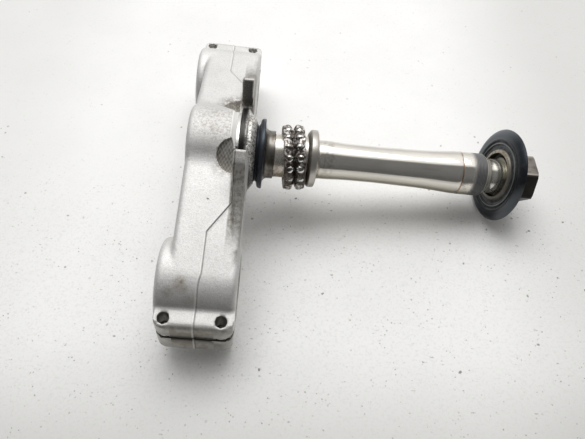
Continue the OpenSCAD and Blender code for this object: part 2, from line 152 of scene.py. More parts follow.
class Finish(Board):
    """The nodes of one material, with the place on the object in millimetres."""

    def __init__(self, name):
        super().__init__(bpy.data.materials.new(name))
        here = self.node("ShaderNodeTexCoord", {}, {}, out="Object")
        self.place = self.node("ShaderNodeVectorMath", {"operation": "SCALE"}, {0: here, "Scale": 1.0 / MM})
        split = self.node("ShaderNodeSeparateXYZ", {}, [self.place]).socket.node
        self.x, self.y, self.z = (Sum(self, socket) for socket in split.outputs)

    def stretched(self, stretch, shift):
        """The place, squeezed along the axes where stretch is over 1, and shifted."""
        return self.node("ShaderNodeVectorMath", {"operation": "MULTIPLY_ADD"},
                         [self.place, tuple(1.0 / s for s in stretch), (shift, shift, shift)])

    def noise(self, size, detail=3.0, rough=0.6, stretch=(1, 1, 1), shift=0.0):
        """Noise with spots of this size in millimetres, longer along the axes where stretch is over 1."""
        where = self.stretched(stretch, shift)
        return self.node("ShaderNodeTexNoise", {}, {"Vector": where, "Scale": 1.0 / size, "Detail": detail,
                                                    "Roughness": rough})

    def pits(self, size, stretch=(1, 1, 1), shift=0.0):
        """Distance from the nearest of many scattered points, about this far apart."""
        where = self.stretched(stretch, shift)
        return self.node("ShaderNodeTexVoronoi", {}, {"Vector": where, "Scale": 1.0 / size})

    def near(self, point, far, close=0.0):
        """1 within close of a point, falling to 0 at far."""
        gap = self.node("ShaderNodeVectorMath", {"operation": "DISTANCE"}, [self.place, point], out="Value")
        return gap.step(far, close)

    def reach(self, y=0.0, z=0.0):
        """Distance from a line along X."""
        across, up = self.y - y, self.z - z
        return (across * across + up * up).math("SQRT")

    def mix(self, factor, a, b):
        """Goes from colour a to colour b."""
        return self.node("ShaderNodeMix", {"data_type": "RGBA"}, {"Factor": factor, 6: a, 7: b}, out=2)

    def clouded(self, factor, colour, share):
        """A colour that falls to a share of itself where factor is 1."""
        return self.mix(factor, colour, tuple(share * c for c in colour))

    def shade(self, colour, roughness, metallic, height=None, **fixed):
        """Feeds the shader. height is a relief in millimetres, and fixed holds its constant sockets."""
        if height is not None:
            relief = {"Height": height, "Distance": MM, "Strength": 1.0}
            fixed["Normal"] = self.node("ShaderNodeBump", {}, relief)
        values = {"Base Color": colour, "Roughness": roughness, "Metallic": metallic, **fixed}
        for key, value in values.items():
            self.feed(self.tree.nodes["Principled BSDF"], key.replace("_", " "), value)
        return self.owner


# Finishes


def parting(board, look):
    """How far a point lies in front of the mould's parting line, in millimetres."""
    along = (look.bend_outer - abs(board.y)) / (look.bend_outer - look.bend_inner)
    line = look.line_outer + (look.line_inner - look.line_outer) * along.clamp()
    return board.x - line + (look.line_outer - look.line_ear) * abs(board.y).step(look.bend_ear, look.bend_end)


def stop_dirt_and_shade(b, colour, grain, blotch):
    """Grime with painted shade beside the groove, painted shade on the stops' sloping sides, grime on their tops,
    and thick grease with painted shade round the far stop.
    """
    side = abs(b.y)
    # Grime with painted shade in the corners beside the groove.
    edge = b.near((10.0, 27.0, 17.0), 15.0, 3.0) * 0.8 + b.near((9.0, -27.0, 17.0), 12.0, 3.0) * 0.5
    colour = b.mix(edge * blotch.step(0.36, 0.60), colour, (0.20, 0.165, 0.13))
    # Painted shade: the stops' sloping sides darker, mottled.
    ramp_shade = b.x.step(13.6, 14.6) * side.step(36.6, 38.2) * side.step(88.0, 62.0) * b.z.step(-6.0, 4.0)
    colour = b.mix(ramp_shade * (0.55 + 0.35 * blotch.step(0.42, 0.62)), colour, (0.25, 0.235, 0.205))
    top = side.band(29.0, 36.8, 0.4) * b.z.step(30.0, 33.0)
    colour = b.mix(top * (0.30 + 0.4 * grain.step(0.42, 0.62)), colour, (0.42, 0.395, 0.355))
    # Grease with painted shade in the corner round the far stop and on the far arm's front face.
    thick_grease_and_shade = b.near((22.0, 29.5, 15.0), 9.0, 5.0) + b.near((22.8, 46.0, -6.0), 19.0, 8.0) * b.x.step(20.0, 22.0)
    return b.mix(thick_grease_and_shade.clamp() * (0.55 + 0.4 * blotch.step(0.3, 0.5)), colour, (0.085, 0.072, 0.058))


def ear_dirt_and_shade(b, look, colour, cloud, blotch):
    """Smudges on the near fork clamp, mottled painted shade on the ears' end walls and round the pinch slots, and
    the duller pads.
    """
    side, slit = abs(b.y), abs(b.z + look.fork_z)
    smudge = b.near((-8.0, -104.0, 0.3), 7.5, 1.0) * 0.75 + b.near((-15.5, -108.0, -3.0), 5.0, 1.0) * 0.4
    smudge = smudge + b.near((-3.0, -112.0, -5.0), 6.0, 1.0) * 0.3
    smudge = smudge * cloud.step(0.3, 0.6) * (0.5 + 0.5 * blotch.step(0.4, 0.6))
    colour = b.mix(smudge, colour, (0.28, 0.23, 0.165))
    # Painted shade: the ears' end walls darker, mottled.
    wall = side.step(124.4, 126.2) * (0.5 + 0.35 * b.noise(6.0).step(0.4, 0.62))
    colour = b.mix(wall, colour, (0.32, 0.295, 0.245))
    # Painted shade: darker towards the pinch slots, and darkest in them.
    colour = b.mix(slit.step(9.5, 2.5) * side.step(121.0, 125.5) * 0.7, colour, (0.17, 0.155, 0.13))
    colour = b.mix(slit.step(4.2, 2.3) * side.step(112.0, 118.0) * 0.85, colour, (0.075, 0.07, 0.06))
    pads = side.step(108.0, 114.0) * b.z.step(look.ear_top - 1.5, look.ear_top - 0.5)
    return b.mix(pads * 0.35, colour, (0.45, 0.44, 0.42))


def parting_edge(b, look, colour, blotch):
    """The dark step of the parting line, and a painted highlight on its thin bead. Gives the colour and their
    relief.
    """
    side = abs(b.y)
    gap = parting(b, look) + 0.5 * (b.noise(1.6, 2.0, shift=9.0) - 0.5) * side.step(98.0, 104.0)
    line = gap.band(0.0, 0.55, 0.35) * side.step(28.0, 32.0)
    outer = side.step(look.bend_outer - 2.0, look.bend_outer + 4.0)
    worn = 0.85 - 0.30 * outer + 0.5 * (blotch - 0.5)
    colour = b.mix(line * worn.clamp() * (1.0 - 0.35 * b.y.step(20.0, 50.0)), colour, (0.13, 0.12, 0.105))
    bead = gap.band(-1.1, -0.2, 0.4)
    # Painted highlight on the bead's outer part; the bead also gives relief.
    return b.mix(bead * outer * 0.5, colour, (0.90, 0.895, 0.88)), bead * 0.16 - line * 0.12


def cast_skin(look):
    """Grainy cast aluminium, with dirt on hub, stops and ears, and the dark edge of the parting line; painted light
    on the far clamp, and painted shade and highlights on the stops, ears and parting line.
    """
    b = Finish("cast_skin")
    grain = b.noise(0.8, 3.0, 0.7)
    blotch = b.noise(2.6, 3.0, 0.65, shift=77.0)
    cloud = b.noise(14.0, 2.0, 0.5, shift=31.0)
    colour = b.clouded(cloud.step(0.35, 0.7), look.cast_colour, 0.94)
    # Painted light: the far fork clamp lighter.
    colour = b.mix(b.y.step(60.0, 105.0) * 0.45, colour, (0.86, 0.855, 0.84))
    colour = b.mix(grain.step(0.40, 0.68) * 0.36, colour, (0.42, 0.405, 0.38))
    hub = b.near((1.0, -1.0, 27.0), 23.0, 8.0) * b.z.step(4.0, 15.0)
    fleck = b.noise(1.7, 3.0, 0.65, shift=15.0)
    colour = b.mix(hub * (0.06 + 0.46 * fleck.step(0.46, 0.64)), colour, look.dirt_colour)
    colour = stop_dirt_and_shade(b, colour, grain, blotch)
    colour = ear_dirt_and_shade(b, look, colour, cloud, blotch)
    colour, edge = parting_edge(b, look, colour, blotch)
    rough = 0.58 + 0.12 * grain + 0.10 * hub * fleck
    return b.shade(colour, rough, 0.92, grain * 0.15 + b.noise(3.5, 2.0, 0.5) * 0.10 + edge)


def machined_face():
    """Bored and milled faces of the casting, with painted light on the far side."""
    b = Finish("machined_face")
    lines = b.noise(0.35, 2.0, stretch=(1.0, 12.0, 12.0))
    cloud = b.noise(9.0)
    colour = b.mix(cloud.step(0.35, 0.7), (0.46, 0.45, 0.42), (0.30, 0.29, 0.265))
    # Painted light: lighter on the far side past the fork bores, in the far holes and slots.
    colour = b.mix(b.y.step(108.0, 114.0), colour, (0.80, 0.79, 0.76))
    return b.shade(colour, 0.34 + 0.2 * cloud, 1.0, lines * 0.03)


def bright_turning():
    """The turned groove, painted near-white as a painted highlight."""
    b = Finish("bright_turning")
    lines = b.noise(0.5, 2.0, stretch=(1.0, 20.0, 20.0))
    colour = b.mix(lines.step(0.4, 0.7), (0.98, 0.97, 0.95), (0.90, 0.89, 0.86))
    return b.shade(colour, 0.34 + 0.1 * lines, 0.1, lines * 0.03)


def milled_relief():
    """The flat beside the groove, with crossed cutter marks that hold dark grease, and painted shade that darkens
    the near side.
    """
    b = Finish("milled_relief")
    lay = b.y * 0.64 + b.x * 0.9
    cross = b.y * 0.8 - b.x * 0.9
    hatch = (lay * 3.2).math("SINE") * 0.5 + (cross * 3.2).math("SINE") * 0.5
    speck = b.noise(2.0, 3.0, 0.65)
    far = b.y.step(0.0, 4.0)
    # Grease in the marks with painted shade: dark on the near side, lighter on the far side.
    dark = (0.42 + 0.24 * hatch + 1.0 * (speck - 0.5)).clamp() * (1.0 - 0.85 * far)
    colour = b.mix(dark, (0.72, 0.70, 0.66), (0.13, 0.115, 0.095))
    stain = far * b.near((13.0, 27.0, 18.0), 11.0, 3.0) * speck.step(0.34, 0.56)
    colour = b.mix(stain * 0.85, colour, (0.16, 0.13, 0.10))
    return b.shade(colour, 0.55, 0.75 - 0.6 * far, hatch * 0.08 + speck * 0.1)


def turned_hub():
    """Grey turned flange and speckled seal collar, black on the near side with grease and painted shade, with a
    painted highlight on the groove floor.
    """
    b = Finish("turned_hub")
    lines = b.noise(0.45, 2.0, stretch=(1.0, 25.0, 25.0))
    speck = b.noise(1.5, 3.0, 0.7)
    collar = b.x.step(18.8, 22.8)
    flange = b.mix(lines.step(0.35, 0.65), (0.045, 0.043, 0.04), (0.027, 0.025, 0.023))
    # Painted highlight: the groove floor near-white like the turned groove.
    flange = b.mix(b.x.step(16.3, 15.9), flange, (0.85, 0.84, 0.82))
    rough_ring = b.mix(speck.step(0.44, 0.60), (0.80, 0.79, 0.76), (0.26, 0.24, 0.21))
    colour = b.mix(collar, flange, rough_ring)
    # Grease with painted shade: black on the near side, and grease round the far stop.
    grease = b.y.step(-19.0, -26.0) + b.near((22.0, 23.0, 14.0), 8.0, 2.0) * speck.step(0.36, 0.5)
    grease = grease.clamp() * b.x.step(15.0, 16.5) * (0.80 + 0.15 * collar)
    colour = b.mix(grease, colour, (0.045, 0.041, 0.037))
    rough = 0.34 + 0.18 * collar
    return b.shade(colour, rough, 0.9, lines * 0.03 * (1.0 - collar) + speck * 0.22 * collar)


def stop_grease():
    """Stop faces painted dark grey as painted shade, mottled."""
    b = Finish("stop_grease")
    speck = b.noise(1.3, 3.0, 0.65)
    cloud = b.noise(5.0, 2.0, 0.5)
    colour = b.mix(speck.step(0.5, 0.75), (0.115, 0.11, 0.105), (0.25, 0.24, 0.22))
    return b.shade(colour, 0.42 + 0.2 * cloud, 0.1, speck * 0.3)


def stem_steel(look):
    """Ground and plated steel, with a rusty witness ring, light scratches and grease at the lower seat, and painted
    reflections of the table and the dark room on its lower side.
    """
    b = Finish("stem_steel")
    fine = b.noise(0.35, 2.0, stretch=(1.0, 30.0, 30.0))
    along = b.noise(1.4, stretch=(30.0, 1.0, 1.0))
    cloud = b.noise(9.0, stretch=(3.0, 1.0, 1.0), shift=5.0)
    colour = b.clouded(cloud.step(0.35, 0.68), look.stem_colour, 0.9)
    # Painted reflection of the table: the lower half cream and darker.
    colour = b.mix(b.z.step(2.0, -8.0) * 0.85, colour, (0.42, 0.385, 0.29))
    # Painted shade: the front of the lower half darker.
    colour = b.mix(b.y.step(-8.5, -11.5) * b.z.step(6.0, -3.0) * 0.6, colour, (0.30, 0.275, 0.20))
    colour = b.mix(along.step(0.55, 0.75) * 0.25, colour, (0.50, 0.46, 0.40))
    seat = b.x.band(39.5, 71.0, 0.8)
    seat_stain = seat * b.noise(4.0, stretch=(0.6, 1.0, 1.0)).step(0.42, 0.62)
    colour = b.mix(seat_stain * 0.4, colour, (0.30, 0.24, 0.16))
    # Painted reflection of the dark room and the cages: brown across the seat's near side.
    colour = b.mix(seat * b.z.band(-8.0, 8.0, 4.0) * b.y.step(0.0, -6.0) * 0.35, colour, (0.24, 0.15, 0.10))
    spots = b.x.band(73.0, 80.0, 1.5) * b.noise(2.0).step(0.45, 0.6)
    colour = b.mix(spots * 0.35, colour, (0.30, 0.25, 0.17))
    ring = b.x.band(look.ring_x - 0.5, look.ring_x + 0.5, 0.35) * b.noise(2.5, 3.0, 0.7).step(0.34, 0.52)
    colour = b.mix(ring * 0.9, colour, look.rust_colour)
    past = b.x - look.thread_x
    neck, taper = past.step(8.4, 9.6), past.step(13.2, 11.8)
    stripes = (b.x * (2.0 * math.pi)).math("SINE").step(-0.2, 0.7)
    thread = past.step(-2.0, 2.5) * past.step(10.0, 8.6)
    colour = b.mix(thread * (0.82 + 0.14 * stripes), colour, (0.035, 0.04, 0.052))
    colour = b.mix(neck * 0.9, colour, (0.93, 0.91, 0.83))
    colour = b.mix(neck * b.noise(3.0).step(0.45, 0.7) * 0.25, colour, (0.33, 0.32, 0.25))
    scratch = b.near((174.0, -14.2, 4.0), 6.0, 2.0)
    scratch = scratch * b.noise(0.8, 2.0, stretch=(6.0, 1.0, 1.0)).step(0.56, 0.64)
    colour = b.mix(scratch * 0.7, colour, (0.20, 0.17, 0.15))
    rough = 0.10 + 0.08 * cloud + 0.10 * seat + 0.12 * seat_stain + 0.25 * ring + 0.30 * thread + 0.06 * neck
    height = fine * 0.004 + along * 0.006 + scratch * 0.03
    return b.shade(colour, rough, 0.91 - 0.36 * neck * taper - 0.7 * thread, height)


def race_steel():
    """Polished bearing races with a yellowish film of old grease, and painted shade on the upper race's sloping
    face.
    """
    b = Finish("race_steel")
    fine = b.noise(0.4, 2.0, stretch=(1.0, 25.0, 25.0))
    film = b.noise(5.0)
    colour = b.mix(film.step(0.42, 0.66), (0.20, 0.19, 0.175), (0.115, 0.098, 0.075))
    colour = b.mix(b.x.step(60.0, 61.0) * 0.85, colour, (0.60, 0.575, 0.53))
    # Painted shade: the upper race's sloping face darker.
    colour = b.mix(b.x.step(64.6, 63.6) * b.x.step(60.0, 61.0) * 0.3, colour, (0.16, 0.135, 0.11))
    return b.shade(colour, 0.27 + 0.16 * film, 0.9, fine * 0.006)


def seal_rubber():
    """Black rubber of the neck seal, shiny with grease."""
    b = Finish("seal_rubber")
    dust = b.noise(2.0)
    colour = b.mix(dust.step(0.55, 0.8), (0.017, 0.019, 0.023), (0.045, 0.048, 0.054))
    return b.shade(colour, 0.26 + 0.14 * dust, 0.0, dust * 0.03, Specular_IOR_Level=0.6,
                    Specular_Tint=(0.72, 0.84, 1.0))


def cage_steel():
    """Pressed cages, brown-black with old grease, with patchy painted light on their top."""
    b = Finish("cage_steel")
    film = b.noise(2.4, 3.0, 0.65)
    # Painted light: the top lighter, in patches.
    patchy_lit_top = b.z.step(4.0, 20.0) * film.step(0.46, 0.62)
    colour = b.mix(film.step(0.4, 0.65), (0.06, 0.049, 0.04), (0.18, 0.148, 0.124))
    colour = b.mix(patchy_lit_top * 0.9, colour, (0.75, 0.715, 0.70))
    return b.shade(colour, 0.30 + 0.25 * film, 0.6, film * 0.12)


def ball_steel():
    """Polished balls with dark grease in patches."""
    b = Finish("ball_steel")
    film = b.noise(3.0, 2.0)
    colour = b.mix(film.step(0.42, 0.58), (0.70, 0.70, 0.685), (0.17, 0.145, 0.12))
    return b.shade(colour, 0.12 + 0.16 * film.step(0.45, 0.6), 1.0)


def cover_metal(look):
    """Worn, blue-grey metal of the dust cover, rusty round its hole, with painted shade inside the hole and behind
    the dish's face.
    """
    b = Finish("cover_metal")
    film = b.noise(4.0)
    speck = b.noise(1.4, 3.0, 0.7)
    r = b.reach(look.sag_y, look.sag_z)
    colour = b.mix(film.step(0.4, 0.65), (0.05, 0.055, 0.06), (0.022, 0.022, 0.021))
    behind = b.x - look.cover_x - (b.z - look.sag_z) * math.tan(look.lean)
    behind = behind + (b.y - look.sag_y) * math.tan(look.turn)
    colour = b.mix(r.band(look.dish_r - 2.9, look.dish_r - 2.1, 0.3) * 0.5, colour, (0.34, 0.36, 0.37))
    colour = b.mix(r.band(look.dish_r - 4.6, look.dish_r - 4.3, 0.3) * 0.4, colour, (0.20, 0.205, 0.205))
    lip = r.step(18.6, 17.7) * (0.35 + 0.65 * b.y.step(-8.0, 7.0))
    colour = b.mix(lip * 0.9, colour, (0.46, 0.42, 0.35))
    colour = b.mix(lip * speck.step(0.44, 0.60) * 0.75, colour, (0.13, 0.095, 0.06))
    # Painted shade: dark inside the hole and on the sleeve behind the dish's face.
    dark = behind.step(0.4, 0.9) * r.step(19.0, 18.0) + r.step(look.hole_r + 0.25, look.hole_r)
    colour = b.mix(dark.clamp() * 0.95, colour, (0.02, 0.02, 0.018))
    return b.shade(colour, 0.34 + 0.2 * film + 0.1 * lip, 0.6, speck * 0.12 * (0.3 + lip))


def cover_rubber():
    """Black rubber rim of the dust cover, with a soft blue sheen, painted lighter on two sides, and a little dust.
    """
    b = Finish("cover_rubber")
    dust = b.noise(3.0)
    colour = b.mix(dust.step(0.5, 0.75), (0.006, 0.007, 0.008), (0.020, 0.021, 0.022))
    # Painted sheen: lighter blue-grey patches on two sides of the rim.
    colour = b.mix(b.y.step(2.0, 22.0) * b.z.step(-26.0, -14.0) * 0.8, colour, (0.12, 0.13, 0.14))
    colour = b.mix(b.y.step(-22.0, -29.0) * b.z.step(-20.0, -8.0) * 0.7, colour, (0.13, 0.14, 0.15))
    return b.shade(colour, 0.28 + 0.16 * dust, 0.0, dust * 0.05, Specular_IOR_Level=0.35,
                    Specular_Tint=(0.72, 0.84, 1.0))


def nut_steel(look):
    """Dark oxide steel of the nut, rubbed lighter on its corners, with painted shade on its shoulder inside the
    cover and on its near faces.
    """
    b = Finish("nut_steel")
    film = b.noise(5.0)
    speck = b.noise(1.0, 2.0, 0.65)
    colour = b.mix(film.step(0.4, 0.65), (0.23, 0.21, 0.19), (0.15, 0.13, 0.112))
    colour = b.mix(b.reach().step(16.4, 17.1) * 0.6, colour, (0.50, 0.47, 0.43))
    colour = b.mix(speck.step(0.58, 0.7) * 0.3, colour, (0.09, 0.07, 0.05))
    # Painted shade: the shoulder inside the cover near-black.
    colour = b.mix(b.x.step(look.nut_x + 0.3, look.nut_x - 0.3) * 0.85, colour, (0.03, 0.026, 0.022))
    colour = b.mix(b.x.step(look.shoulder_x + 0.3, look.shoulder_x + 0.15), colour, (0.22, 0.21, 0.165))
    # Painted shade: the near faces darker.
    colour = b.mix(b.y.step(-8.0, -9.6) * 0.9, colour, (0.032, 0.029, 0.025))
    return b.shade(colour, 0.34 + 0.18 * film, 0.85, speck * 0.05)


def table_paint(look):
    """Pale painted table with a few dark specks and small chips, and painted shade that darkens it towards the
    front and the sides.
    """
    b = Finish("table_paint")
    cloud = b.noise(60.0, 3.0, 0.5)
    colour = b.clouded(cloud.step(0.35, 0.7), look.table_colour, 0.97)
    # Painted shade: darker towards the front and the sides.
    away = 1.10 * b.y.step(-105.0, -215.0) + 0.75 * b.x.step(170.0, 300.0) + 0.35 * b.x.step(-90.0, -200.0)
    colour = b.mix(away.clamp(), colour, (0.67, 0.665, 0.65))
    front = b.y.step(60.0, -40.0)
    mottle = b.noise(1.7, 3.0, 0.75, shift=23.0).step(0.46, 0.72)
    colour = b.mix(mottle * (0.10 + 0.24 * front), colour, (0.62, 0.61, 0.585))
    ragged = b.noise(1.1, 2.0, shift=51.0) - 0.5
    sparse = b.noise(24.0, 2.0, 0.5, shift=12.0).step(0.54, 0.64) * (1.0 - 0.6 * b.y.step(20.0, 120.0))
    chips = (b.pits(9.0) + 0.25 * ragged).step(0.13, 0.06) * sparse
    specks = (b.pits(3.2, shift=40.0) + 0.7 * ragged).step(0.17, 0.03)
    specks = specks * b.noise(13.0, 2.0, 0.5, shift=3.0).step(0.44, 0.60)
    dashes = (b.pits(3.8, stretch=(3.0, 1.0, 1.0), shift=90.0) + 0.5 * ragged).step(0.12, 0.03)
    dashes = dashes * b.noise(19.0, 2.0, 0.5, shift=61.0).step(0.48, 0.60)
    colour = b.mix(chips * 0.85, colour, (0.17, 0.16, 0.14))
    colour = b.mix(specks * (0.25 + 0.50 * front), colour, (0.27, 0.26, 0.235))
    colour = b.mix(dashes * (0.15 + 0.50 * front), colour, (0.31, 0.30, 0.27))
    return b.shade(colour, 0.6, 0.0, (chips + specks) * -0.1 + b.noise(2.0, 2.0, 0.5) * 0.02)


# Working with meshes


def lay_down():
    """Back to object mode, with nothing selected."""
    if bpy.context.object and bpy.context.object.mode != "OBJECT":
        bpy.ops.object.mode_set(mode="OBJECT")
    bpy.ops.object.select_all(action="DESELECT")


def hold(*objects):
    """Selects only these objects, with the last one active."""
    lay_down()
    for o in objects:
        o.select_set(True)
    bpy.context.view_layer.objects.active = objects[-1]
    return objects[-1]


def settle(name):
    """Names the object that was just added, and moves its place into its mesh."""
    piece = bpy.context.object
    piece.name = piece.data.name = name
    bpy.ops.object.transform_apply(location=True, rotation=True, scale=True)
    return piece


@contextmanager
def edit(piece):
    """Edit mode, with all of the piece selected."""
    hold(piece)
    bpy.ops.object.mode_set(mode="EDIT")
    bpy.ops.mesh.select_all(action="SELECT")
    yield
    bpy.ops.object.mode_set(mode="OBJECT")


def turned(name, outline, sides=RING):
    """Turns a closed outline of (radius, place) about the X axis: each ring is extruded from the last one."""
    lay_down()
    radius, place = outline[0]
    bpy.ops.mesh.primitive_circle_add(vertices=sides, radius=radius * MM, location=(place * MM, 0, 0),
                                      rotation=(0, math.pi / 2, 0))
    piece = settle(name)
    with edit(piece):
        for new_radius, new_place in [*outline[1:], outline[0]]:
            bpy.ops.mesh.extrude_edges_move()
            if new_place != place:
                bpy.ops.transform.translate(value=((new_place - place) * MM, 0, 0))
            if new_radius != radius:
                size = new_radius / radius
                bpy.ops.transform.resize(value=(1, size, size), center_override=(new_place * MM, 0, 0))
            radius, place = new_radius, new_place
        bpy.ops.mesh.select_all(action="SELECT")
        bpy.ops.mesh.remove_doubles(threshold=0.004 * MM)
        bpy.ops.mesh.normals_make_consistent(inside=False)
    return piece


def block(name, low, high):
    """A box between two corners."""
    lay_down()
    middle = [(a + b) / 2 * MM for a, b in zip(low, high)]
    bpy.ops.mesh.primitive_cube_add(size=1, location=middle, scale=[(b - a) * MM for a, b in zip(low, high)])
    return settle(name)


def drill(name, centre, radius, length, sides=48):
    """A round bar along Z, to cut a hole with."""
    lay_down()
    bpy.ops.mesh.primitive_cylinder_add(vertices=sides, radius=radius * MM, depth=length * MM,
                                        location=[c * MM for c in centre])
    return settle(name)


def ball(name, centre, radius):
    """A ball."""
    lay_down()
    bpy.ops.mesh.primitive_ico_sphere_add(subdivisions=3, radius=radius * MM,
                                          location=[c * MM for c in centre])
    return settle(name)


def put(piece, matrix):
    """Moves a piece by a matrix and keeps its object at the origin."""
    hold(piece)
    piece.matrix_world = matrix @ piece.matrix_world
    bpy.ops.object.transform_apply(location=True, rotation=True, scale=True)
    return piece


def apply(piece, kind, **settings):
    """Adds a modifier and applies it."""
    hold(piece)
    bpy.ops.object.modifier_add(type=kind)
    modifier = piece.modifiers[-1]
    for key, value in settings.items():
        setattr(modifier, key, value)
    bpy.ops.object.modifier_apply(modifier=modifier.name)
    return piece


def cut(piece, tool, operation="DIFFERENCE"):
    """Cuts a piece with a closed tool, and throws the tool away."""
    apply(piece, "BOOLEAN", operation=operation, object=tool, solver="MANIFOLD")
    bpy.data.objects.remove(tool)
    if not piece.data.polygons:
        raise RuntimeError(f"nothing is left of {piece.name} after a cut")
    return piece


def mirrored(make):
    """Makes a tool for the +Y side and its mirror image for the -Y side, as one object."""
    first, second = make(), make()
    put(second, Matrix.Scale(-1, 4, (0, 1, 0)))
    with edit(second):
        bpy.ops.mesh.normals_make_consistent(inside=False)
    return joined(first, second)


def joined(*objects):
    """Joins objects into the last one."""
    hold(*objects)
    bpy.ops.object.join()
    return objects[-1]


def soften(piece, width, angle):
    """Rounds the edges that are sharper than an angle in degrees, and shades the rest smooth."""
    limit = math.radians(angle)
    if width:
        apply(piece, "BEVEL", width=width * MM, segments=2, limit_method="ANGLE", angle_limit=limit,
              use_clamp_overlap=True, harden_normals=False)
    hold(piece)
    bpy.ops.object.shade_smooth_by_angle(angle=limit)
    return piece


def dress(piece, node_names, slot, *materials):
    """Gives a piece its materials and its body, in place of its CAD nodes; slot is not used."""
    kept = [p.material_index for p in piece.data.polygons]
    piece.data.materials.clear()
    for material in materials:
        piece.data.materials.append(material)
    piece.data.polygons.foreach_set("material_index", kept)
    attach(piece, "root")
    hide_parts(*node_names)
    return piece


# Settings


def length(name, default, description):
    """A length in millimetres."""
    return bpy.props.FloatProperty(name=name, description=description, default=default, min=0.0)


def place(name, default, description):
    """A place along an axis, in millimetres."""
    return bpy.props.FloatProperty(name=name, description=description, default=default)


def angle(name, degrees, description):
    """An angle, given in degrees."""
    return bpy.props.FloatProperty(name=name, description=description, default=math.radians(degrees),
                                   subtype="ANGLE")


def vector(name, default, description):
    """A place in millimetres, or a direction."""
    return bpy.props.FloatVectorProperty(name=name, description=description, default=default, size=3)


def strength(name, default, description):
    """The strength of a light."""
    return bpy.props.FloatProperty(name=name, description=description, default=default, min=0.0)


def colour(name, default, description):
    """A colour."""
    return bpy.props.FloatVectorProperty(name=name, description=description, default=default, subtype="COLOR",
                                         size=3, min=0.0, max=1.0)


class ClampSettings(bpy.types.PropertyGroup):
    """Sizes and colours of the cast clamp."""

    fork_d: length("Fork diameter", 41.0, "Diameter of the fork bores")
    fork_y: length("Fork place", 91.0, "Distance of each fork bore from the stem, along Y")
    fork_z: length("Fork offset", 25.0, "Distance of the fork bores in front of the stem, along -Z")
    clamp_len: length("Clamp length", 48.5, "Length of the fork clamps")
    ear_top: place("Pad height", -9.8, "Height of the pads with the tapped holes")
    bolt_x: length("Bolt place", 16.6, "Distance of the pinch bolts from the middle, along X")
    bolt_y: length("Bolt reach", 121.0, "Distance of the pinch bolts from the stem, along Y")
    tap_r: length("Tapped hole", 3.4, "Radius of the tapped holes in the upper ears")
    clear_r: length("Clearance hole", 4.25, "Radius of the clearance holes in the lower ears")
    head_r: length("Head seat", 7.0, "Radius of the seats for the bolts' heads")
    slot_w: length("Slot width", 3.0, "Width of the pinch slots")
    groove_r: length("Groove radius", 26.0, "Radius at the floor of the turned groove")
    groove_x: place("Groove place", 16.0, "Place of the groove's front wall")
    relief_x: place("Relief place", 14.0, "Place of the reliefs' front end")
    relief_r: length("Relief radius", 11.0, "Radius of the milled reliefs beside the groove")
    relief_floor: length("Relief floor", 26.5, "Distance of the reliefs' floors from the stem's axis")
    relief_turn: angle("Relief angle", 46.0, "Angle of the reliefs from the rear side")
    flange_r: length("Flange radius", 29.72, "Radius of the turned flange")
    flange_end: place("Flange end", 21.0, "Place of the flange's outer face")
    collar_r: length("Collar radius", 21.0, "Radius of the collar's end, that carries the seal")
    collar_end: place("Collar end", 27.02, "Place of the collar's end")
    stop_gap: length("Stop gap", 59.8, "Distance between the faces of the two stops")
    skin: length("Skin grain", 1.1, "Size of the cells that round off the cast skin")
    line_outer: place("Outer parting line", 2.6, "Place of the parting line on the fork clamps")
    line_inner: place("Inner parting line", 15.3, "Place of the parting line beside the hub")
    line_ear: place("Ear parting line", 1.2, "Place of the parting line beside the ears")
    bend_outer: length("Outer bend", 71.8, "Where the parting line leaves the fork clamp, along Y")
    bend_inner: length("Inner bend", 52.6, "Where the parting line reaches its inner place, along Y")
    bend_ear: length("Ear bend", 96.0, "Where the parting line starts to shift towards the ears, along Y")
    bend_end: length("Ear bend end", 105.0, "Where the parting line reaches its place beside the ears, along Y")
    line_step: length("Parting step", 0.45, "How much the front half of the casting lies lower")
    cast_colour: colour("Cast skin", (0.745, 0.74, 0.73), "Colour of the clean cast skin")
    dirt_colour: colour("Dirt", (0.34, 0.30, 0.25), "Colour of the dirt on the hub")


class StemSettings(bpy.types.PropertyGroup):
    """Sizes and colours of the stem and its bearings."""

    bore_r: length("Bore radius", 8.5, "Radius of the bore right through the stem")
    press_r: length("Pressed radius", 16.0, "Radius that is pressed into the hub")
    seat_r: length("Seat radius", 15.0, "Radius of the bearing seats")
    waist_r: length("Waist radius", 12.7, "Radius of the slim middle")
    neck_r: length("Neck radius", 11.4, "Radius of the neck that carries the nut")
    back: place("Lower end", -17.5, "Place of the stem's lower end")
    shoulder_x: place("Shoulder", 31.0, "Place of the shoulder that carries the lower race")
    ring_x: place("Witness ring", 169.8, "Place of the rusty ring at the upper seat")
    thread_x: place("Thread", 178.0, "Place where the fine thread starts")
    end: place("Upper end", 220.5, "Place of the stem's upper end")
    row_x: place("Ball row", 49.5, "Place of the first row of balls")
    row_gap: length("Row distance", 7.6, "Distance between the rows of balls")
    lean: angle("Cage lean", 5.5, "Lean of the loose cages")
    ball_d: length("Ball diameter", 6.35, "Diameter of a ball")
    pitch_r: length("Pitch radius", 19.4, "Radius of the circle through the ball centres")
    balls: bpy.props.IntProperty(name="Balls", description="Balls in each cage", default=17, min=3)
    stem_colour: colour("Stem steel", (0.86, 0.83, 0.77), "Colour of the polished stem")
    rust_colour: colour("Rust", (0.30, 0.155, 0.075), "Colour of the rusty witness ring")


